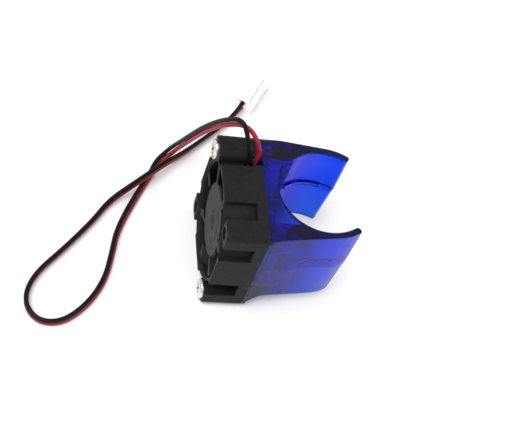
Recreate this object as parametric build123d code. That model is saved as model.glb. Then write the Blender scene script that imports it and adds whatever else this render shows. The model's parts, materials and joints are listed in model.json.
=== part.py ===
from build123d import *
import os
from math import acos, asin, atan2, cos, degrees, pi, radians, sin, sqrt, tan

# Clip-on cooling-fan duct for a 22 mm cylindrical heatsink, with its 30 mm axial fan and lead.
# Millimetres.  +Z is the axis of the round clip, the fan blows towards +X, and the origin is
# the point where the clip's axis meets the fan's spin axis.  +Y completes the right hand.

# ---------------------------------------------------------------- driving dimensions
FAN_SIDE = 30.0
FAN_DEPTH = 10.0
HOLE_PITCH = 24.0
HOLE_R = 1.6
JOINT_X = -15.0                       # plane where the fan's back meets the duct's flange
FLANGE_BACK = JOINT_X + 0.8           # the duct's square flange ends here
FRONT_X = JOINT_X - FAN_DEPTH         # the fan's intake face
HALF = FAN_SIDE / 2
HOLE = HOLE_PITCH / 2
CORNER_R = 2.2

CLIP_R = 11.3                         # inner wall of the clip, for a 22 mm heatsink
CLIP_WALL = 1.9
CLIP_TOP = 14.5
CLIP_BOTTOM = -11.0
PARTING_Z = 2.2
PARTING_STEP = 0.25                   # how far the outside steps in below the parting line
TIP_ANGLE = 55.0                      # half of the clip's mouth, from +X
TIP_STEP = 0.6                        # how much further back the tips stand below the parting
TIP_LEAN = 3.3                        # and how far they lean back there
WINDOW_HALF = 9.1                     # half width of the air window in the clip's wall
DUCT_WALL = 1.6
RIB_WIDTH = 1.4                       # rib inside each arm, upwards from the parting line
RIB_HEIGHT = 0.5
RIB_FULL_ANGLE = 75.0                 # from here to the tip the rib is only a low line
RIB_LINE = 0.2
BACK_RELIEF = 0.2                     # the clip grips with its arms, not with its back
PILOT_R = 1.25
CHANNEL_R = 14.3                      # the air channel, just wider than the fan's bore

BORE_R = 13.9                         # the fan's air bore
RING_R = 14.6
PAD_HALF = 5.2                        # half width of the flat pad on each side of the frame
SHOULDER = 10.0                       # where the square corners of the frame begin
FLANGE_X = -17.5                      # front of the square flange at the fan's back
EDGE_BREAK = 0.25                     # chamfer on the flange and on the clip's bore
FRONT_BREAK = 0.15                    # chamfer round the frame's intake face
SLOT_Y = (5.75, 8.18)                  # notch where the leads come out of the frame
BASE_R = 8.5
BASE_X = (-16.6, -15.1)               # motor base, front and back
TUBE_R = (1.6, 2.3)
TUBE_FRONT = -22.0
STRUT_ANGLE = degrees(atan2(12.6, 7.1))

HUB_R = 9.3
HUB_X = (-24.0, -17.9)
LABEL_R = 8.8
HUB_WALL = 0.8
BLADE_TIP_R = 13.5
BLADE_X = (-24.5, -18.1)
BLADES = 7
SHAFT_R = 0.75
MAGNET_R = (7.1, 8.1)
YOKE_R = (8.13, 8.76)
CORE_X = (-21.4, -19.2)
CORE_R = 6.8
INSULATION = 0.4
COIL_BUILD = 0.4
BOARD_X = -17.2

HEAD_R = 2.5                          # pan head of the fan screws
HEAD_HEIGHT = 0.9

LEAD_D = 1.15
FLOOR_Z = -HALF                       # the surface that the fan stands on

PLUG_POS = (-9.7, 48.23)              # middle of the plug's wire face, on the floor plan
PLUG_ANGLE = 60.5
PLUG_SIZE = (11.2, 6.1, 4.8)          # length, width, height
CAVITY_Z = {"red": 1.4, "black": 3.45}  # the plug lies on its side, one contact above the other
CAVITY_HALF = 0.8
WIRE_LEAD_IN = 1.8                    # straight stretch of each lead before the plug
WIRE_INSET = 2.0                      # how far each lead reaches into the plug

# Centre lines of the two leads, from the notch to the plug, as chosen by hand.
RED_ROUTE = [
    (-17, 7.55, 12.7), (-15.75, 7.6, 16), (-17.2, 8.7, 20.2), (-20.3, 10.8, 23),
    (-23.9, 13.9, 19.2), (-26.3, 18, 11.8), (-27.9, 22, 3.4), (-28.95, 25.4, -3.9),
    (-29.9, 27.6, -8.9), (-31.15, 28.4, -12.65), (-34.17, 26.96, -14.42), (-36.02, 22.12, -14.42),
    (-39.43, 15.81, -14.42), (-44.71, 4.69, -14.42), (-46.12, -2.81, -14.42),
    (-47.93, -10.2, -14.42), (-52.13, -17.18, -14.42), (-58.01, -22.08, -14.42),
    (-63.68, -21.78, -14.38), (-66.69, -16.84, -14.3), (-64.92, -9.84, -14.42),
    (-58.01, -1.98, -14.42), (-50.98, 6.76, -14.42), (-46.77, 13.14, -14.42),
    (-40.36, 17.5, -11.95), (-32.88, 24.41, -12.15), (-27.59, 29.76, -14.1), (-21.85, 35.53, -14.28),
    (-16.96, 40.19, -14.04), (-13.62, 43.66, -13.79)]
BLACK_ROUTE = [
    (-17.3, 6.38, 12.7), (-18.1, 6.8, 16.2), (-19.9, 8.3, 21.2), (-21.8, 10.7, 25.1),
    (-24.9, 14.3, 20.2), (-27.2, 18.6, 12.3), (-28.8, 22.6, 3.8), (-29.9, 26, -3.5),
    (-30.8, 28.3, -8.4), (-31.9, 29.1, -11.85), (-34.48, 26.93, -13.3), (-36.39, 22.28, -13.33),
    (-39.92, 16.05, -13.4), (-45.09, 4.84, -13.33), (-46.51, -2.72, -13.33),
    (-48.22, -10.08, -13.3), (-52.29, -17.05, -13.28), (-58.01, -22.07, -13.26),
    (-63.76, -21.95, -13.23), (-66.8, -16.85, -13.15), (-64.83, -9.88, -13.26),
    (-57.87, -2.1, -13.27), (-50.87, 6.68, -13.27), (-46.94, 13.04, -13.28),
    (-40.51, 17.43, -10.8), (-32.88, 24.52, -11), (-27.45, 29.74, -12.95), (-21.56, 35.24, -13.2),
    (-16.63, 39.79, -13), (-13.43, 43.19, -12.75)]


# ---------------------------------------------------------------- shared helpers
def slab(sketch, low, high):
    """Extrude a (Y, Z) sketch from x = low to x = high."""
    return extrude(Plane.YZ.offset(low) * sketch, amount=high - low)


def disc(radius, low, high, y=0.0, z=0.0):
    """Round bar along X."""
    return slab(Pos(y, z) * Circle(radius), low, high)


def ring(outer, inner, low, high):
    """Flat or long ring about the spin axis."""
    return slab(Circle(outer) - Circle(inner), low, high)


def block(low, high):
    """Box between two corners."""
    size = [b - a for a, b in zip(low, high)]
    middle = [(a + b) / 2 for a, b in zip(low, high)]
    return Pos(*middle) * Box(*size)


def spun(shape, angle):
    """Turn a shape about the spin axis."""
    return Rot(angle, 0, 0) * shape


def corners():
    """The four fan screw positions as (y, z)."""
    return [(sy * HOLE, sz * HOLE) for sy in (-1, 1) for sz in (-1, 1)]


def save(shape, node):
    """Write one node as STEP."""
    os.makedirs("parts", exist_ok=True)
    export_step(shape, f"parts/{node}.step")


# ---------------------------------------------------------------- duct
def duct_plan(radius, edge):
    """Plan of the duct: a circle and the two tangent flanks that run back to the flange."""
    start = Vector(JOINT_X, edge)
    turn = atan2(edge, JOINT_X) - acos(radius / start.length)
    touch = Vector(radius * cos(turn), radius * sin(turn))
    slope = (touch.Y - start.Y) / (touch.X - start.X)
    back = JOINT_X - 4.0
    back_y = start.Y + slope * (back - start.X)
    flanks = Polyline((back, -back_y), (touch.X, -touch.Y), (touch.X, touch.Y), (back, back_y),
                      close=True)
    return make_face(flanks) + Circle(radius)


def duct_profile():
    """Side view: level top, sloping throat at the bottom, rounded lower corner at the arm tips."""
    reach = CLIP_R + CLIP_WALL
    outline = FilletPolyline(
        (JOINT_X, HALF), (FLANGE_BACK, HALF), (JOINT_X + 4.0, CLIP_TOP), (reach, CLIP_TOP),
        (reach, 0.0), (7.9, -2.0), (7.4, CLIP_BOTTOM), (CLIP_BOTTOM, CLIP_BOTTOM), (JOINT_X, -HALF),
        close=True, radius=(0.01, 0.5, 1.0, 0.3, 0.3, 0.5, 2.2, 2.5, 0.01))
    return extrude(Plane.XZ * make_face(outline), amount=HALF + 1, both=True)


def duct_shell():
    """Outer body, drafted away from the parting line on both sides."""
    reach = CLIP_R + CLIP_WALL
    plan = duct_plan(reach, HALF)
    lower_plan = duct_plan(reach - PARTING_STEP, HALF - PARTING_STEP)
    upper = Pos(0, 0, PARTING_Z) * extrude(plan, amount=HALF - PARTING_Z, taper=0.8)
    lower = Pos(0, 0, PARTING_Z) * mirror(
        extrude(lower_plan, amount=HALF + PARTING_Z, taper=1.8), about=Plane.XY)
    square = slab(RectangleRounded(FAN_SIDE, FAN_SIDE, CORNER_R), JOINT_X, reach + 1)
    flange = slab(RectangleRounded(FAN_SIDE, FAN_SIDE, CORNER_R), JOINT_X, FLANGE_BACK)
    return ((upper + lower) & square & duct_profile()) + flange


def air_channel():
    """Hollow between the fan and the clip's wall, with the window through that wall."""
    floor = CLIP_BOTTOM + DUCT_WALL
    roof = CLIP_TOP - DUCT_WALL
    slope = DUCT_WALL * sqrt(2)
    side = Polyline((JOINT_X - 1, JOINT_X - 1 + slope), (floor - slope, floor), (0, floor),
                    (0, roof), (JOINT_X - 1, roof), close=True)
    profile = extrude(Plane.XZ * make_face(side), amount=HALF, both=True)
    inner = duct_plan(CLIP_R + CLIP_WALL - DUCT_WALL - 0.3, HALF - DUCT_WALL - 0.6)
    plan = extrude(Pos(0, 0, -HALF) * inner, amount=FAN_SIDE)
    wall = Cylinder(CLIP_R + DUCT_WALL, FAN_SIDE * 2)
    channel = (plan & profile & disc(CHANNEL_R, JOINT_X - 1, 0)) - wall
    window = block((-CLIP_R - DUCT_WALL - 0.4, -WINDOW_HALF, floor), (-5.0, WINDOW_HALF, roof))
    return channel + window


def wedge(half_angle):
    """Sector about +X, in plan, between two rays from the clip's axis."""
    x, y = 100 * cos(half_angle), 100 * sin(half_angle)
    return make_face(Polyline((0, 0), (x, -y), (x, y), close=True))


def mouth(angle, low, high):
    """Gap between the arms, which leaves a round nose on each tip."""
    middle = CLIP_R + CLIP_WALL / 2
    edge = radians(angle) + asin(CLIP_WALL / 2 / middle)
    gap = wedge(edge)
    for side in (-1, 1):
        gap -= Pos(middle * cos(edge), side * middle * sin(edge)) * Circle(CLIP_WALL / 2)
    return extrude(Pos(0, 0, low) * gap, amount=high - low)


def leaning_mouth(side):
    """Half of the gap below the parting line, where the tip leans back on its way down."""
    turn = radians(TIP_ANGLE)
    hinge = Axis((0, 0, PARTING_Z), (cos(turn), side * sin(turn), 0))
    gap = mouth(TIP_ANGLE + TIP_STEP, -FAN_SIDE, HALF).rotate(hinge, side * TIP_LEAN)
    low, high = sorted((0, side * FAN_SIDE))
    return gap & block((0, low, -FAN_SIDE), (FAN_SIDE, high, PARTING_Z))


def clip_mouth():
    """The gap between the arms, which widens downwards below the parting line."""
    return mouth(TIP_ANGLE, PARTING_Z, HALF + 1) + leaning_mouth(-1) + leaning_mouth(1)


def back_of_clip():
    """The side of the clip between its arms, where the window is."""
    return block((-HALF, -WINDOW_HALF, -FAN_SIDE), (0, WINDOW_HALF, FAN_SIDE))


def rib_band(height, end_angle):
    """Both arms' ribs of one height, from the window's sides forward to an angle from +X."""
    band = Cylinder(CLIP_R + 0.3, RIB_WIDTH) - Cylinder(CLIP_R - height, 2 * RIB_WIDTH)
    front = extrude(Pos(0, 0, -RIB_WIDTH) * wedge(radians(end_angle)), amount=2 * RIB_WIDTH)
    return Pos(0, 0, PARTING_Z + RIB_WIDTH / 2) * (band - front) - back_of_clip()


def clip_rib():
    """Low rib inside each arm that drops between two fins of the heatsink."""
    return rib_band(RIB_HEIGHT, RIB_FULL_ANGLE) + rib_band(RIB_LINE, TIP_ANGLE + 2.5)


def bore_chamfer(top, outward):
    """Ring cut that breaks the edge of the clip's bore at its upper or lower end."""
    small, large = CLIP_R, CLIP_R + 2 * EDGE_BREAK
    radii = (small, large) if outward > 0 else (large, small)
    return Pos(0, 0, top) * Cone(*radii, 2 * EDGE_BREAK)


def duct():
    relief = Cylinder(CLIP_R + BACK_RELIEF, FAN_SIDE * 2) & back_of_clip()
    shell = duct_shell() - clip_mouth() - Cylinder(CLIP_R, FAN_SIDE * 2) - relief
    body = shell - air_channel() - bore_chamfer(CLIP_TOP, 1) - bore_chamfer(CLIP_BOTTOM, -1)
    for y, z in corners():
        depth = 3.0 if z > 0 else 1.7
        body -= disc(PILOT_R, JOINT_X - 1, JOINT_X + depth, y, z)
    return body + clip_rib()


# ---------------------------------------------------------------- fan frame
def frame_outline():
    """Section of the frame: round barrel, a flat pad on each side and four square corners."""
    outline = Circle(RING_R)
    for angle in (0, 90, 180, 270):
        outline += Rot(0, 0, angle) * Pos(0, HALF - 1.5) * Rectangle(2 * PAD_HALF, 3.0)
    cross = Rectangle(2 * SHOULDER, FAN_SIDE) + Rectangle(FAN_SIDE, 2 * SHOULDER)
    outline += RectangleRounded(FAN_SIDE, FAN_SIDE, CORNER_R) - cross
    return outline + Pos(11.6, 11.6) * RectangleRounded(6.8, 6.8, 2.4)


def struts():
    """Four spokes that carry the motor base; the one to the notch is wide, for the leads."""
    spokes = None
    for step in range(4):
        width = 2.8 if step == 0 else 1.8
        spoke = slab(Pos((BASE_R + BORE_R) / 2, 0) * Rectangle(BORE_R - BASE_R + 1.6, width),
                     BASE_X[0] + 0.2, BASE_X[1])
        spoke = spun(spoke, STRUT_ANGLE + 90 * step)
        spokes = spoke if spokes is None else spokes + spoke
    return spokes


def fan_frame():
    square = slab(RectangleRounded(FAN_SIDE, FAN_SIDE, CORNER_R), FLANGE_X, JOINT_X)
    square = chamfer(square.faces().sort_by(Axis.X)[0].edges(), EDGE_BREAK)
    barrel = slab(frame_outline(), FRONT_X, JOINT_X)
    barrel = chamfer(barrel.faces().sort_by(Axis.X)[0].edges(), FRONT_BREAK)
    body = square + barrel
    body -= disc(BORE_R, FRONT_X - 1, JOINT_X + 1)
    flare = Plane.YZ.offset(FRONT_X) * Cone(BORE_R + 0.5, BORE_R, 0.7,
                                            align=(Align.CENTER, Align.CENTER, Align.MIN))
    body -= flare
    body += struts() + disc(BASE_R, *BASE_X) + disc(TUBE_R[1], TUBE_FRONT, BASE_X[0])
    body -= disc(TUBE_R[0], TUBE_FRONT - 1, BASE_X[0])
    for y, z in corners():
        body -= disc(HOLE_R, FRONT_X - 1, JOINT_X + 1, y, z)
    body -= block((FLANGE_X - 1.4, SLOT_Y[0], 11.0), (JOINT_X + 1, SLOT_Y[1], HALF + 1))
    return body


# ---------------------------------------------------------------- rotor
def blade():
    """One curved, twisted blade between the hub and its tip circle."""
    sections = []
    for radius, chord, pitch in ((HUB_R - 0.5, 9.6, 52.0), (BLADE_TIP_R + 0.6, 12.6, 61.0)):
        half = chord / 2
        rise = 0.9
        outline = Polyline((half, 0), (half, 0.55)) + Polyline((-half, 0), (-half, 0.75))
        outline += ThreePointArc((half, 0.55), (0, rise + 0.75), (-half, 0.75))
        outline += ThreePointArc((half, 0), (0, rise), (-half, 0))
        plane = Plane(origin=(sum(BLADE_X) / 2, 0, radius), x_dir=(1, 0, 0), z_dir=(0, 0, 1))
        sections.append(plane * Rot(0, 0, pitch) * make_face(outline))
    raw = loft(sections)
    return raw & ring(BLADE_TIP_R, HUB_R - 0.3, *BLADE_X)


def impeller():
    cup = disc(HUB_R, *HUB_X)
    front = cup.edges().filter_by(GeomType.CIRCLE).sort_by(Axis.X)[0]
    cup = fillet(front, 0.5)
    cup -= disc(YOKE_R[1] + 0.04, HUB_X[0] + HUB_WALL, HUB_X[1] + 1)
    cup += disc(1.5, HUB_X[0] + HUB_WALL - 0.1, HUB_X[0] + HUB_WALL + 0.7)
    cup -= disc(SHAFT_R, HUB_X[0] + 0.4, HUB_X[1])
    one = blade()
    for step in range(BLADES):
        cup += spun(one, step * 360.0 / BLADES)
    return cup


def hub_label():
    """Thin round sticker on the hub's face."""
    return disc(LABEL_R, HUB_X[0] - 0.15, HUB_X[0])


def rotor_yoke():
    plate = HUB_X[0] + HUB_WALL
    return ring(YOKE_R[1], YOKE_R[0], plate, -18.2) + ring(YOKE_R[1], 1.55, plate, plate + 0.5)


def ring_magnet():
    return ring(MAGNET_R[1], MAGNET_R[0], -22.4, -18.4)


def rotor_shaft():
    shaft = disc(SHAFT_R, HUB_X[0] + 0.4, BASE_X[0] - 0.33)
    groove = ring(SHAFT_R + 1, 0.5, -17.36, -17.09)
    return shaft - groove


def retaining_clip():
    clip = ring(1.2, 0.52, -17.34, -17.11)
    return clip - block((-18, -0.35, 0), (-17, 0.35, 2))


# ---------------------------------------------------------------- bearing and stator
def bearing_sleeve():
    return ring(TUBE_R[0] - 0.02, SHAFT_R + 0.03, -21.65, -17.4)


def oil_seal_washer():
    return ring(TUBE_R[0] - 0.03, SHAFT_R + 0.08, TUBE_FRONT, -21.68)


def thrust_pad():
    return disc(TUBE_R[0] - 0.05, BASE_X[0] - 0.3, BASE_X[0])


def pole_sketch(bar, shoe_inner, shoe_outer, spread, hub):
    """Four-pole star: hub ring, bars and curved shoes."""
    wedge = make_face(Polyline((0, 0), (9, 9 * tan(radians(spread / 2))),
                               (9, -9 * tan(radians(spread / 2))), close=True))
    shoe = (Circle(shoe_outer) - Circle(shoe_inner)) & wedge
    star = Circle(hub)
    for angle in (0, 90, 180, 270):
        star += Rot(0, 0, angle + 45) * (shoe + Pos(shoe_inner / 2, 0) * Rectangle(shoe_inner + 0.4, bar))
    return star - Circle(TUBE_R[1] + 0.04)


def stator_core():
    return slab(pole_sketch(1.5, 6.0, CORE_R, 72, 3.6), *CORE_X)


def insulator(low, high):
    return slab(pole_sketch(2.06, 6.0, 6.5, 58, 3.7), low, high)


def stator_coil(angle):
    """Rectangular winding round one pole."""
    low = CORE_X[0] - INSULATION
    high = CORE_X[1] + INSULATION
    outer = block((low - COIL_BUILD, 3.85, -1.75), (high + COIL_BUILD, 5.65, 1.75))
    outer = fillet(outer.edges().filter_by(Axis.Y), 0.5)
    inner = block((low, 3, -1.05), (high, 7, 1.05))
    return spun(outer - inner, angle)


def circuit_board():
    board = ring(7.0, TUBE_R[1] + 0.05, BOARD_X, BASE_X[0])
    return board - block((-18, -0.8, -8), (-16, 0.8, -6.3))


def hall_driver_chip():
    """Flat moulded chip between two poles, close under the magnet."""
    body = block((BOARD_X - 0.85, -1.6, -6.4), (BOARD_X, 1.6, -4.0))
    legs = None
    for y in (-1.05, -0.35, 0.35, 1.05):
        leg = block((BOARD_X - 0.45, y - 0.15, -4.0), (BOARD_X, y + 0.15, -3.1))
        legs = leg if legs is None else legs + leg
    return body + legs


def chip_capacitor():
    return block((BOARD_X - 0.7, -5.6, -2.4), (BOARD_X, -4.8, -0.8))


# ---------------------------------------------------------------- fasteners
def screw(y, z):
    """Cross-recess pan-head screw, its head on the fan's intake face."""
    head = disc(HEAD_R, FRONT_X - HEAD_HEIGHT, FRONT_X, y, z)
    front = head.edges().filter_by(GeomType.CIRCLE).sort_by(Axis.X)[0]
    head = fillet(front, 0.6)
    shank = disc(1.4, FRONT_X, JOINT_X + 1.0, y, z)
    tip = Plane.YZ.offset(JOINT_X + 1.0) * Pos(y, z) * Cone(
        1.4, 0.7, 0.6, align=(Align.CENTER, Align.CENTER, Align.MIN))
    recess = None
    for angle in (30, 120):
        arm = block((FRONT_X - HEAD_HEIGHT - 1, -1.3, -0.28), (FRONT_X - 0.2, 1.3, 0.28))
        arm = Pos(0, y, z) * (Rot(angle, 0, 0) * arm)
        recess = arm if recess is None else recess + arm
    return head + shank + tip - recess


# ---------------------------------------------------------------- leads and plug
def tube(points, diameter, name):
    """Round lead along straight runs joined by tangent arcs as large as the runs allow."""
    places = [Vector(*p) for p in points]
    runs = [b - a for a, b in zip(places, places[1:])]
    radii = []
    for before, after in zip(runs, runs[1:]):
        turn = radians(before.get_angle(after))
        radii.append(0.45 * min(before.length, after.length) / tan(turn / 2))
    path = FilletPolyline(*places, radius=radii)
    section = Plane(origin=path @ 0, z_dir=path % 0) * Circle(diameter / 2)
    solid = sweep(section, path=path)
    expected = pi * diameter ** 2 / 4 * path.length
    print(name, "length", round(path.length, 1), "volume ratio", round(solid.volume / expected, 4),
          "tightest", round(min(radii), 2), "radii", [round(r, 1) for r in radii])
    return solid


def plug_point(along, across, height):
    """Point in the plug's own directions, from the middle of its wire face."""
    turn = radians(PLUG_ANGLE)
    return (PLUG_POS[0] + along * cos(turn) - across * sin(turn),
            PLUG_POS[1] + along * sin(turn) + across * cos(turn), FLOOR_Z + height)


def plug_ends(colour):
    """The last two points of a lead, straight into the plug."""
    return [plug_point(along, 0, CAVITY_Z[colour]) for along in (-WIRE_LEAD_IN, WIRE_INSET)]


def in_plug(shape):
    """Place a shape drawn along +X from the wire face into the plug's position."""
    return Pos(PLUG_POS[0], PLUG_POS[1], FLOOR_Z) * (Rot(0, 0, PLUG_ANGLE) * shape)


def connector_housing():
    """Two stacked cavities in a block with a groove and a keying notch along its upper side."""
    length, width, height = PLUG_SIZE
    body = block((0, -width / 2, 0), (length, width / 2, height))
    body = fillet(body.edges().filter_by(Axis.X), 0.3)
    body -= block((0.6, -1.95, height - 1.0), (length - 0.5, -1.5, height + 1))
    body -= block((4.6, 1.95, height - 0.5), (6.4, 2.45, height + 1))
    for z in CAVITY_Z.values():
        body -= Pos(0, 0, z) * (Rot(0, 90, 0) * Cylinder(0.75, 2 * WIRE_INSET + 0.4))
        body -= block((WIRE_INSET, -CAVITY_HALF, z - CAVITY_HALF),
                      (length + 1, CAVITY_HALF, z + CAVITY_HALF))
        body -= block((4.4, 0, z - 0.5), (6.6, width, z + 0.5))
    return in_plug(body)


def crimp_terminal(colour):
    """Crimp barrel and box contact of one cavity, its latch towards the plug's left side."""
    barrel = block((WIRE_INSET, -0.6, -0.65), (4.6, 0.45, 0.65))
    box = block((4.6, -0.7, -0.7), (9.6, 0.7, 0.7)) - block((5.6, -0.45, -0.45), (10, 0.45, 0.45))
    latch = block((5.2, 0.7, -0.3), (6.2, 1.0, 0.3))
    return in_plug(Pos(0, 0, CAVITY_Z[colour]) * (barrel + box + latch))


def lead_tail(side, route):
    """Stretch of a lead inside the frame, from its solder joint to the start of its free route."""
    turn = radians(STRUT_ANGLE)
    across = side * (LEAD_D / 2 + 0.02)
    x = BASE_X[0] - LEAD_D / 2 - 0.01

    def along(radius):
        return (x, radius * cos(turn) - across * sin(turn), radius * sin(turn) + across * cos(turn))
    end, beyond = Vector(*route[0]), Vector(*route[1])
    before = end - (beyond - end).normalized() * 1.4
    return tube([along(7.3), along(11.2), tuple(before), tuple(end)], LEAD_D, "tail")


def solder_joints():
    """Two domes of solder that join the lead tails to the board's edge."""
    joints = []
    for side in (-1, 1):
        dome = disc(0.42, BOARD_X - 0.5, BOARD_X, 6.4, side * 0.6)
        joints.append(spun(dome, STRUT_ANGLE))
    return joints


# ---------------------------------------------------------------- assembly
def main():
    save(duct(), "duct")
    save(fan_frame(), "fan_frame")
    save(impeller(), "impeller")
    save(hub_label(), "hub_label")
    save(rotor_yoke(), "rotor_yoke")
    save(ring_magnet(), "ring_magnet")
    save(rotor_shaft(), "rotor_shaft")
    save(retaining_clip(), "retaining_clip")
    save(bearing_sleeve(), "bearing_sleeve")
    save(oil_seal_washer(), "oil_seal_washer")
    save(thrust_pad(), "thrust_pad")
    save(stator_core(), "stator_core")
    save(insulator(CORE_X[0] - INSULATION, CORE_X[0]), "insulator_front")
    save(insulator(CORE_X[1], CORE_X[1] + INSULATION), "insulator_back")
    for number in range(4):
        save(stator_coil(45 + 90 * number), f"stator_coil_{number + 1}")
    save(circuit_board(), "circuit_board")
    save(hall_driver_chip(), "hall_driver_chip")
    save(chip_capacitor(), "chip_capacitor")
    save(Compound(children=solder_joints()), "solder_joints")
    save(screw(HOLE, HOLE), "screw_top")
    save(screw(-HOLE, -HOLE), "screw_bottom")
    save(lead_tail(-1, RED_ROUTE), "red_lead_tail")
    save(lead_tail(1, BLACK_ROUTE), "black_lead_tail")
    save(connector_housing(), "connector_housing")
    for colour, route in (("red", RED_ROUTE), ("black", BLACK_ROUTE)):
        save(tube(route + plug_ends(colour), LEAD_D, colour + " lead"), colour + "_lead")
        save(crimp_terminal(colour), "crimp_terminal_" + colour)


main()
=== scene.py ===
import json
from math import cos, radians, sin

import bpy
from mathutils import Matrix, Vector


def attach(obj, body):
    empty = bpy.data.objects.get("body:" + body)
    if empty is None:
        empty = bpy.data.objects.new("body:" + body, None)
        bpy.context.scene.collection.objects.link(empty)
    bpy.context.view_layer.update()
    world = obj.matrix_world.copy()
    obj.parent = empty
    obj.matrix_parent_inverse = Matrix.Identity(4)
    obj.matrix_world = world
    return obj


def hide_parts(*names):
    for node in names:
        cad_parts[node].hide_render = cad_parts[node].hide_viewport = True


# Looks of the push-on cooling-fan duct: one piece of tinted clear plastic, a black 30 mm fan,
# two plated screws, and a twin lead that ends in a two-way plug.
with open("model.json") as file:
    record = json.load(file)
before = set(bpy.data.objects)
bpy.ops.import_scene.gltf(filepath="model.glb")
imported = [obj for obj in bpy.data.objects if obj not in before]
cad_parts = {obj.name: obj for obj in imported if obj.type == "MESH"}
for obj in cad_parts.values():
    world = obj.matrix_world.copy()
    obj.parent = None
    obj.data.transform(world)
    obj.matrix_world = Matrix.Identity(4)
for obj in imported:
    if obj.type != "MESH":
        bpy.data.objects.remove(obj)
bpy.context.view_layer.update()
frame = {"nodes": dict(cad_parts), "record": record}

MM = 0.001
NODES = frame["nodes"]
SLOT_OF = {part["node"]: part["material_slot"] for part in frame["record"]["subparts"]}


# ---------------------------------------------------------------- camera
def make_camera():
    """A short telephoto view from the near left, looking down at about 52 degrees."""
    data = bpy.data.cameras.new("camera")
    data.lens = 69.1
    data.sensor_width = 36.0
    data.clip_start = 0.01
    data.clip_end = 20.0
    camera = bpy.data.objects.new("camera", data)
    camera.location = Vector((-76.5, -135.3, 194.0)) * MM
    camera.rotation_euler = (radians(35.55), radians(-14.85), radians(-5.63))
    bpy.context.scene.collection.objects.link(camera)
    bpy.context.scene.camera = camera


# ---------------------------------------------------------------- leads
LEAD_D = 1.15                         # over the insulation, in millimetres

# The same points as the leads' routes in the CAD model, in millimetres.
RED_ROUTE = [
    (-17, 7.55, 12.7), (-15.75, 7.6, 16), (-17.2, 8.7, 20.2), (-20.3, 10.8, 23),
    (-23.9, 13.9, 19.2), (-26.3, 18, 11.8), (-27.9, 22, 3.4), (-28.95, 25.4, -3.9),
    (-29.9, 27.6, -8.9), (-31.15, 28.4, -12.65), (-34.17, 26.96, -14.42), (-36.02, 22.12, -14.42),
    (-39.43, 15.81, -14.42), (-44.71, 4.69, -14.42), (-46.12, -2.81, -14.42),
    (-47.93, -10.2, -14.42), (-52.13, -17.18, -14.42), (-58.01, -22.08, -14.42),
    (-63.68, -21.78, -14.38), (-66.69, -16.84, -14.3), (-64.92, -9.84, -14.42),
    (-58.01, -1.98, -14.42), (-50.98, 6.76, -14.42), (-46.77, 13.14, -14.42),
    (-40.36, 17.5, -11.95), (-32.88, 24.41, -12.15), (-27.59, 29.76, -14.1), (-21.85, 35.53, -14.28),
    (-16.96, 40.19, -14.04), (-13.62, 43.66, -13.79)]
BLACK_ROUTE = [
    (-17.3, 6.38, 12.7), (-18.1, 6.8, 16.2), (-19.9, 8.3, 21.2), (-21.8, 10.7, 25.1),
    (-24.9, 14.3, 20.2), (-27.2, 18.6, 12.3), (-28.8, 22.6, 3.8), (-29.9, 26, -3.5),
    (-30.8, 28.3, -8.4), (-31.9, 29.1, -11.85), (-34.48, 26.93, -13.3), (-36.39, 22.28, -13.33),
    (-39.92, 16.05, -13.4), (-45.09, 4.84, -13.33), (-46.51, -2.72, -13.33),
    (-48.22, -10.08, -13.3), (-52.29, -17.05, -13.28), (-58.01, -22.07, -13.26),
    (-63.76, -21.95, -13.23), (-66.8, -16.85, -13.15), (-64.83, -9.88, -13.26),
    (-57.87, -2.1, -13.27), (-50.87, 6.68, -13.27), (-46.94, 13.04, -13.28),
    (-40.51, 17.43, -10.8), (-32.88, 24.52, -11), (-27.45, 29.74, -12.95), (-21.56, 35.24, -13.2),
    (-16.63, 39.79, -13), (-13.43, 43.19, -12.75)]
PLUG_POS = (-9.7, 48.23)              # middle of the plug's wire face on the floor plan
PLUG_ANGLE = 60.5
CAVITY_Z = {"red": 1.4, "black": 3.45}
WIRE_LEAD_IN = 1.8                    # the wire runs straight over this length before the plug
WIRE_INSET = 2.0                      # and ends this deep inside it
FLOOR_Z = -15.0                       # the fan stands on the side of its square frame


def plug_ends(colour):
    """The last two points of a lead: just before the plug's wire face, and inside it."""
    turn = radians(PLUG_ANGLE)
    height = FLOOR_Z + CAVITY_Z[colour]
    return [(PLUG_POS[0] + along * cos(turn), PLUG_POS[1] + along * sin(turn), height)
            for along in (-WIRE_LEAD_IN, WIRE_INSET)]


def make_lead(colour, route):
    """One insulated wire along a smooth line, which replaces its CAD tube."""
    name = colour + "_lead_wire"
    curve = bpy.data.curves.new(name, "CURVE")
    curve.dimensions = "3D"
    points = route + plug_ends(colour)
    spline = curve.splines.new("NURBS")
    spline.points.add(len(points) - 1)
    for slot, point in zip(spline.points, points):
        slot.co = (*(Vector(point) * MM), 1.0)
        slot.radius = LEAD_D / 2 * MM
    spline.order_u = 3
    spline.use_endpoint_u = True
    spline.resolution_u = 8
    curve.bevel_depth = 1.0           # scaled by each point's radius, which keeps the bounds tight
    curve.bevel_resolution = 5
    curve.use_fill_caps = True
    lead = bpy.data.objects.new(name, curve)
    bpy.context.scene.collection.objects.link(lead)
    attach(lead, "housing")
    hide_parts(colour + "_lead")
    lead.data.materials.append(MATERIALS[colour + "_insulation"])


# ---------------------------------------------------------------- materials
# A colour mix has several sockets of each name, so these three go by number.
MIX_FIRST, MIX_SECOND, MIX_RESULT = 6, 7, 2


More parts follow.
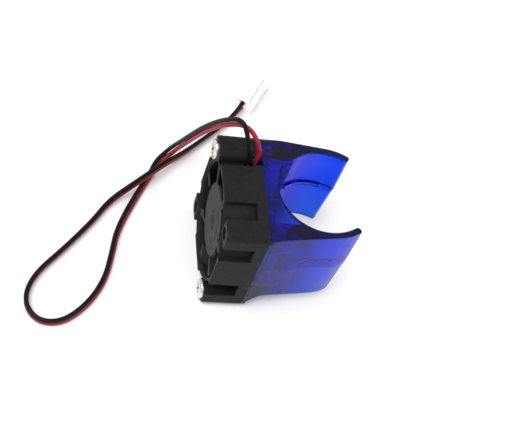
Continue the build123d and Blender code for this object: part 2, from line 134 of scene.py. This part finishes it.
class Tree:
    """A material's node tree, with short ways to add and join nodes."""

    def __init__(self, name):
        self.material = bpy.data.materials.new(name)
        self.material.use_nodes = True
        self.tree = self.material.node_tree
        self.shader = self.tree.nodes["Principled BSDF"]
        self.output = self.tree.nodes["Material Output"]

    def add(self, kind, **settings):
        """A new node with its settings made."""
        node = self.tree.nodes.new(kind)
        for key, value in settings.items():
            setattr(node, key, value)
        return node

    def link(self, source, target):
        self.tree.links.new(source, target)

    def noise(self, size_mm, detail=3.0, stretch=(1.0, 1.0, 1.0)):
        """Noise of a given feature size in object space; stretch shrinks it along an axis."""
        coords = self.add("ShaderNodeTexCoord")
        mapping = self.add("ShaderNodeMapping")
        mapping.inputs["Scale"].default_value = stretch
        noise = self.add("ShaderNodeTexNoise")
        noise.inputs["Scale"].default_value = 1.0 / (size_mm * MM)
        noise.inputs["Detail"].default_value = detail
        self.link(coords.outputs["Object"], mapping.inputs["Vector"])
        self.link(mapping.outputs["Vector"], noise.inputs["Vector"])
        return noise.outputs["Fac"]

    def spread(self, value, low, high):
        """Remaps a noise's useful middle range to low..high."""
        remap = self.add("ShaderNodeMapRange")
        remap.inputs["From Min"].default_value = 0.3
        remap.inputs["From Max"].default_value = 0.7
        remap.inputs["To Min"].default_value = low
        remap.inputs["To Max"].default_value = high
        self.link(value, remap.inputs["Value"])
        return remap.outputs["Result"]

    def blend(self, amount, first, second):
        """Mixes two colours; each is a colour or a socket."""
        mix = self.add("ShaderNodeMix", data_type="RGBA")
        for index, colour in ((MIX_FIRST, first), (MIX_SECOND, second)):
            if isinstance(colour, tuple):
                mix.inputs[index].default_value = (*colour, 1.0)
            else:
                self.link(colour, mix.inputs[index])
        self.link(amount, mix.inputs["Factor"])
        return mix.outputs[MIX_RESULT]

    def edges(self, radius_mm, strength):
        """High where the surface turns sharply, within a radius of the edge."""
        bevel = self.add("ShaderNodeBevel", samples=4)
        bevel.inputs["Radius"].default_value = radius_mm * MM
        geometry = self.add("ShaderNodeNewGeometry")
        dot = self.add("ShaderNodeVectorMath", operation="DOT_PRODUCT")
        self.link(bevel.outputs["Normal"], dot.inputs[0])
        self.link(geometry.outputs["Normal"], dot.inputs[1])
        remap = self.add("ShaderNodeMapRange")
        remap.inputs["From Min"].default_value = 1.0
        remap.inputs["From Max"].default_value = 0.8
        remap.inputs["To Min"].default_value = 0.0
        remap.inputs["To Max"].default_value = strength
        self.link(dot.outputs["Value"], remap.inputs["Value"])
        return remap.outputs["Result"]

    def across(self, axis, low_mm, high_mm, middle_mm=None):
        """Rises from 0 to 1 along an axis, or with the distance from a middle on it."""
        coords = self.add("ShaderNodeTexCoord")
        split = self.add("ShaderNodeSeparateXYZ")
        self.link(coords.outputs["Object"], split.inputs["Vector"])
        value = split.outputs[axis]
        if middle_mm is not None:
            gap = self.add("ShaderNodeMath", operation="SUBTRACT")
            gap.inputs[1].default_value = middle_mm * MM
            self.link(value, gap.inputs[0])
            size = self.add("ShaderNodeMath", operation="ABSOLUTE")
            self.link(gap.outputs["Value"], size.inputs[0])
            value = size.outputs["Value"]
        remap = self.add("ShaderNodeMapRange")
        remap.inputs["From Min"].default_value = low_mm * MM
        remap.inputs["From Max"].default_value = high_mm * MM
        self.link(value, remap.inputs["Value"])
        return remap.outputs["Result"]

    def join(self, operation, first, second):
        """Two masks put together: MULTIPLY for both of them, MAXIMUM for either."""
        joined = self.add("ShaderNodeMath", operation=operation)
        self.link(first, joined.inputs[0])
        self.link(second, joined.inputs[1])
        return joined.outputs["Value"]

    def bump(self, height, depth_mm):
        """Fine relief on the whole surface."""
        node = self.add("ShaderNodeBump")
        node.inputs["Distance"].default_value = depth_mm * MM
        self.link(height, node.inputs["Height"])
        self.link(node.outputs["Normal"], self.shader.inputs["Normal"])

    def set(self, **values):
        """Even values of the shader's sockets; an underscore stands for a space."""
        for key, value in values.items():
            socket = self.shader.inputs[key.replace("_", " ")]
            socket.default_value = (*value, 1.0) if isinstance(value, tuple) else value


def scaled(colour, factor):
    """A colour made lighter or darker."""
    return tuple(min(1.0, channel * factor) for channel in colour)


EDGE_HIGHLIGHT_MM = 0.15                        # width of the painted highlight along an edge
EDGE_HIGHLIGHT_LIGHTENS = 2.5                   # how many times lighter the painted edge highlight is
GLOSS_CHANGE = 0.15                   # how far the roughness strays each way from its mean


def surface(name, colour, roughness, mottle=0.12, mottle_mm=3.0, grain_mm=0.2, grain_depth=0.003,
            edge_highlight=0.0, stretch=(1.0, 1.0, 1.0), **values):
    """An opaque finish: mottled colour, uneven gloss, fine grain and a painted highlight along the
    edges.
    """
    tree = Tree(name)
    tone = tree.blend(tree.spread(tree.noise(mottle_mm, 4.0, stretch), 0.0, 1.0),
                      scaled(colour, 1 - mottle), scaled(colour, 1 + mottle))
    # Painted highlight: a lighter line along the edges, where light would catch them.
    if edge_highlight:
        tone = tree.blend(tree.edges(EDGE_HIGHLIGHT_MM, edge_highlight), tone, scaled(colour, EDGE_HIGHLIGHT_LIGHTENS))
    tree.link(tone, tree.shader.inputs["Base Color"])
    gloss = tree.spread(tree.noise(mottle_mm * 0.4, 3.0, stretch),
                        roughness * (1 - GLOSS_CHANGE), roughness * (1 + GLOSS_CHANGE))
    tree.link(gloss, tree.shader.inputs["Roughness"])
    tree.bump(tree.noise(grain_mm, 2.0, stretch), grain_depth)
    tree.set(**values)
    return tree.material


# Places on the duct, in millimetres.
JOINT_X = -15.0                       # where the duct meets the fan
ARMS_X = -3.0                         # only the arms lie past this
CLIP_TOP = 14.5
CLIP_BOTTOM = -11.0
FLANGE_HALF = 15.0


def clear_blue():
    """Tinted clear polycarbonate: the colour deepens with the length of the light's way.

    The rims of the arms, of the top and bottom and of the flange are painted dark, as painted shade
    along their edges. Those of the window inside aren't. Towards the fan the tint is painted darker
    than on the arms, as painted shade from the fan.
    """
    tree = Tree("blue_polycarbonate")
    tree.set(Transmission_Weight=1.0, IOR=1.34, Specular_Tint=(0.95, 0.95, 1.0))
    # Painted shade: the tint is made darker and greyer towards the fan.
    painted_shade_to_fan = tree.blend(tree.across("X", JOINT_X, ARMS_X - 1.0), (0.5, 0.5, 0.66), (0.9, 0.93, 1.0))

    half_height = (CLIP_TOP - CLIP_BOTTOM) / 2
    arms = tree.across("X", ARMS_X - 0.5, ARMS_X + 0.5)
    ends = tree.across("Z", half_height - 1.55, half_height - 0.95,
                       middle_mm=(CLIP_TOP + CLIP_BOTTOM) / 2)
    flange = tree.across("Y", FLANGE_HALF - 0.8, FLANGE_HALF - 0.4, middle_mm=0.0)
    outside = tree.join("MAXIMUM", tree.join("MAXIMUM", arms, ends), flange)
    # Painted shade: a dark line along the outer rims of the arms, top, bottom and flange.
    painted_rim_shade = tree.join("MULTIPLY", tree.edges(0.8, 1.0), outside)
    tone = tree.blend(painted_rim_shade, painted_shade_to_fan, (0.015, 0.015, 0.08))
    tree.link(tone, tree.shader.inputs["Base Color"])

    tree.link(tree.spread(tree.noise(2.5), 0.16, 0.24), tree.shader.inputs["Roughness"])
    tint = tree.add("ShaderNodeVolumeAbsorption")
    tint.inputs["Color"].default_value = (0.0, 0.54, 0.955, 1.0)
    tint.inputs["Density"].default_value = 3000.0
    tree.link(tint.outputs["Volume"], tree.output.inputs["Volume"])
    return tree.material


# Each finish goes by its slot's name: a linear colour, a roughness, and what is special to it.
MATERIALS = {
    "blue_polycarbonate": clear_blue(),
    # Both black plastics get a painted highlight along their edges.
    "black_plastic": surface("black_plastic", (0.0115, 0.0122, 0.0118), 0.5, mottle=0.22,
                             mottle_mm=1.2, grain_mm=0.3, grain_depth=0.012, edge_highlight=0.25,
                             Specular_IOR_Level=0.09),
    # Darker and less glossy than the frame's black plastic: painted shade of the fan's inside.
    "black_plastic_rotor": surface("black_plastic_rotor", (0.006, 0.006, 0.006), 0.45,
                                   edge_highlight=0.1, Specular_IOR_Level=0.06),
    "grey_label": surface("grey_label", (0.03, 0.03, 0.03), 0.6, mottle=0.08, grain_mm=0.08,
                          grain_depth=0.001, Specular_IOR_Level=0.12),
    "plated_steel": surface("plated_steel", (0.55, 0.55, 0.54), 0.32, Metallic=1.0),
    "bonded_ferrite": surface("bonded_ferrite", (0.06, 0.06, 0.062), 0.6, grain_mm=0.1),
    "sintered_bronze": surface("sintered_bronze", (0.5, 0.33, 0.16), 0.45, Metallic=1.0,
                               grain_mm=0.08, grain_depth=0.006),
    "red_fibre": surface("red_fibre", (0.3, 0.05, 0.035), 0.8),
    "silicon_steel": surface("silicon_steel", (0.42, 0.42, 0.44), 0.4, Metallic=1.0,
                             stretch=(8.0, 1.0, 1.0), grain_mm=0.5, grain_depth=0.02),
    "white_nylon": surface("white_nylon", (0.82, 0.82, 0.78), 0.45, mottle=0.04),
    "white_nylon_housing": surface("white_nylon_housing", (0.96, 0.96, 0.95), 0.4, mottle=0.02,
                                   Subsurface_Weight=0.15, Subsurface_Scale=0.001),
    "enamelled_copper": surface("enamelled_copper", (0.6, 0.22, 0.09), 0.25, Metallic=1.0,
                                grain_mm=0.12, grain_depth=0.03, Coat_Weight=0.5),
    "green_board": surface("green_board", (0.02, 0.16, 0.06), 0.3, Coat_Weight=0.4),
    "black_resin": surface("black_resin", (0.008, 0.008, 0.008), 0.6, Specular_IOR_Level=0.1),
    "tan_ceramic": surface("tan_ceramic", (0.42, 0.3, 0.18), 0.5),
    "solder_tin": surface("solder_tin", (0.7, 0.7, 0.72), 0.2, Metallic=1.0),
    "nickel_steel": surface("nickel_steel", (0.72, 0.69, 0.62), 0.22, Metallic=1.0, mottle=0.06,
                            mottle_mm=0.8, grain_mm=0.3, grain_depth=0.002),
    "red_insulation": surface("red_insulation", (0.32, 0.008, 0.029), 0.36, mottle=0.1,
                              mottle_mm=2.0, grain_mm=0.5, grain_depth=0.006,
                              Specular_IOR_Level=0.35),
    "black_insulation": surface("black_insulation", (0.005, 0.005, 0.005), 0.42, mottle=0.15,
                                mottle_mm=2.0, grain_mm=0.5, grain_depth=0.006,
                                Specular_IOR_Level=0.13),
    "tinned_brass": surface("tinned_brass", (0.66, 0.62, 0.52), 0.28, Metallic=1.0),
}


def dress_cad_nodes():
    """Every carried-over CAD node gets the finish of its slot."""
    for name, node in NODES.items():
        node.data.materials.clear()
        node.data.materials.append(MATERIALS[SLOT_OF[name]])


# ---------------------------------------------------------------- print on the hub
LABEL_FACE_X = -24.15                 # front of the round label, in millimetres
INK_LIFT = 0.02                       # the ink stands this far off it, so the two don't flicker


def on_circle(radius, angle):
    """A (y, z) corner at an angle in degrees round the spin axis."""
    return radius * cos(radians(angle)), radius * sin(radians(angle))


def arc_band(inner, outer, start, stop, steps=48):
    """Corners and faces of a flat band round the spin axis, between two angles in degrees."""
    corners = []
    for step in range(steps + 1):
        angle = start + (stop - start) * step / steps
        corners += [on_circle(inner, angle), on_circle(outer, angle)]
    faces = [(2 * step, 2 * step + 1, 2 * step + 3, 2 * step + 2) for step in range(steps)]
    return corners, faces


def make_print(name, corners, faces):
    """Ink on the label, from (y, z) corners; it turns with the rotor."""
    mesh = bpy.data.meshes.new(name)
    mesh.from_pydata([Vector((LABEL_FACE_X - INK_LIFT, y, z)) * MM for y, z in corners], [], faces)
    ink = bpy.data.objects.new(name, mesh)
    bpy.context.scene.collection.objects.link(ink)
    ink.data.materials.append(MATERIALS["black_resin"])
    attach(ink, "rotor")


def make_hub_mark():
    """A dot inside a ring, and an arrow that shows which way the rotor spins."""
    make_print("hub_dot", *arc_band(0.1, 1.1, 0.0, 360.0))
    make_print("hub_ring", *arc_band(1.6, 2.3, 20.0, 340.0))
    middle, half_line, half_head = 5.8, 0.2, 0.7
    tail, neck, tip = 100.0, 170.0, 186.0
    corners, faces = arc_band(middle - half_line, middle + half_line, tail, neck)
    first = len(corners)
    corners += [on_circle(middle - half_head, neck), on_circle(middle + half_head, neck),
                on_circle(middle, tip)]
    make_print("hub_arrow", corners, faces + [(first, first + 1, first + 2)])


# ---------------------------------------------------------------- stage
def soft_box(name, place, size, power):
    """A square lamp at a place in metres, aimed at the origin."""
    data = bpy.data.lights.new(name, "AREA")
    data.shape = "SQUARE"
    data.size = size
    data.energy = power
    lamp = bpy.data.objects.new(name, data)
    lamp.location = place
    lamp.rotation_euler = (-Vector(place)).to_track_quat("-Z", "Y").to_euler()
    bpy.context.scene.collection.objects.link(lamp)


def make_floor():
    """A plain white floor at the foot of the fan."""
    half = 3.0                        # in metres
    z = FLOOR_Z * MM
    mesh = bpy.data.meshes.new("floor")
    mesh.from_pydata([(-half, -half, z), (half, -half, z), (half, half, z), (-half, half, z)], [],
                     [(0, 1, 2, 3)])
    floor = bpy.data.objects.new("floor", mesh)
    bpy.context.scene.collection.objects.link(floor)
    floor.data.materials.append(surface("floor_white", (0.9, 0.9, 0.9), 0.7, mottle=0.01,
                                        grain_depth=0.0005))


def make_light():
    """An even sky and two soft boxes."""
    world = bpy.data.worlds.new("sky")
    bpy.context.scene.world = world
    world.use_nodes = True
    sky = world.node_tree.nodes["Background"]
    sky.inputs["Color"].default_value = (1.0, 1.0, 1.0, 1.0)
    sky.inputs["Strength"].default_value = 0.74
    soft_box("key_light", (-0.25, -0.10, 0.45), 0.35, 2.3)
    soft_box("fill_light", (0.35, -0.25, 0.35), 0.3, 0.5)
    bpy.context.scene.view_settings.view_transform = "Standard"


make_camera()
make_lead("red", RED_ROUTE)
make_lead("black", BLACK_ROUTE)
dress_cad_nodes()
make_hub_mark()
make_floor()
make_light()
